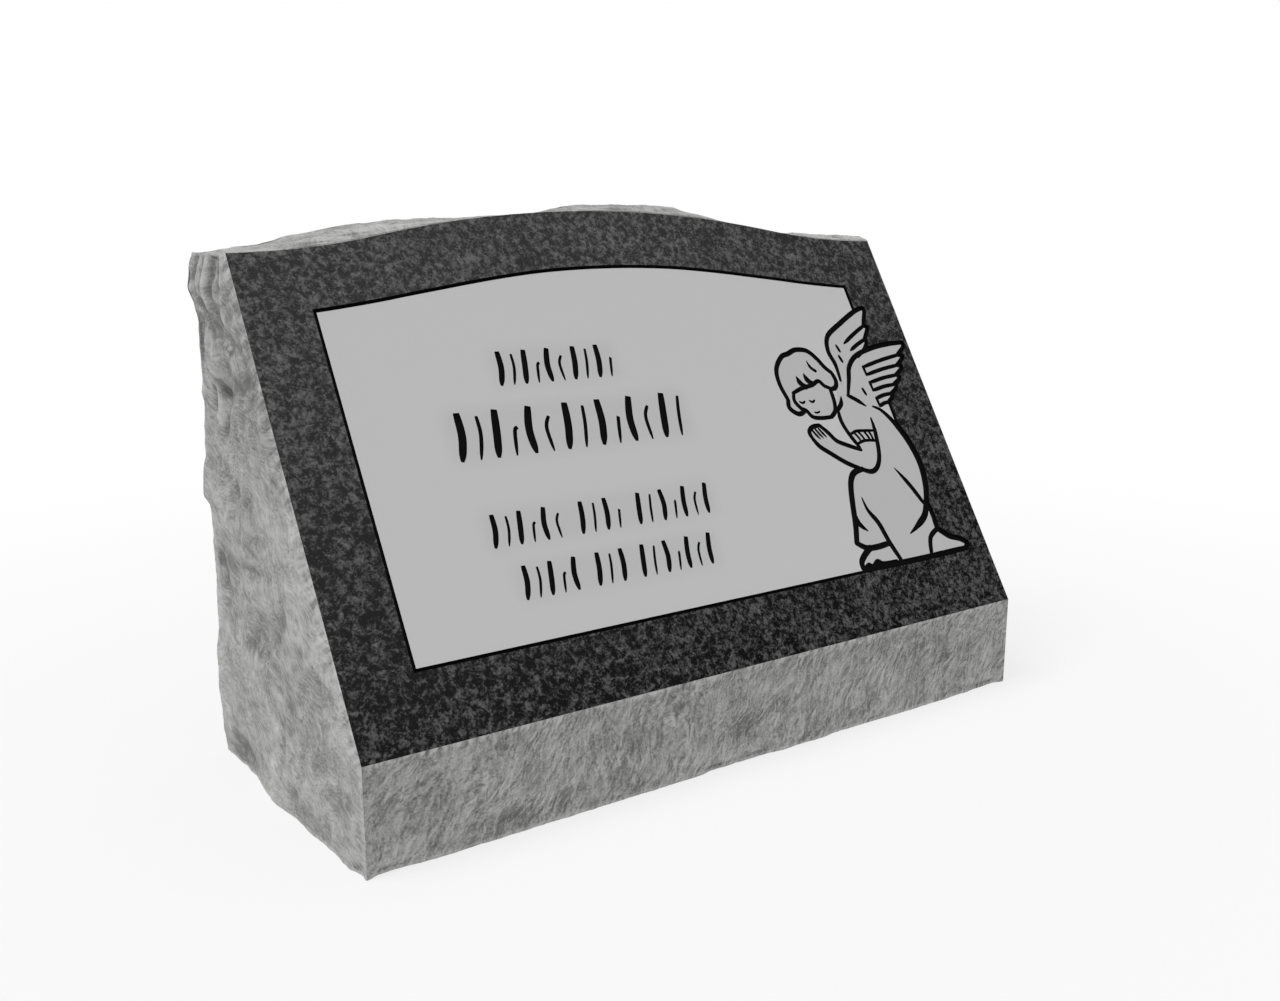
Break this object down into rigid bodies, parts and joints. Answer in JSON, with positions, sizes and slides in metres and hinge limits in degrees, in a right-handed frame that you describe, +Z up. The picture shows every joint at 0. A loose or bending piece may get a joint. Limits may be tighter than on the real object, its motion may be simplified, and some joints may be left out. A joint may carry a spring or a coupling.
{
  "type": "slant grave marker",
  "caption": "Granite slant grave marker with a serpentine top, a sloping face with a sunk panel, kneeling angel and rows of chisel strokes, and rock-pitched sides",
  "frame": {"origin": "centre of the flat underside that rests on the ground, between the upright nose and the back at their nominal 254 mm depth", "axes": "+X to the right of someone reading the face, +Y from the nose to the back, +Z up"},
  "size_m": [0.6245, 0.2612, 0.4157],
  "materials": {
    "granite": "matte"
  },
  "bodies": {
    "root": {"slant_marker": "granite"}
  },
  "joints": []
}
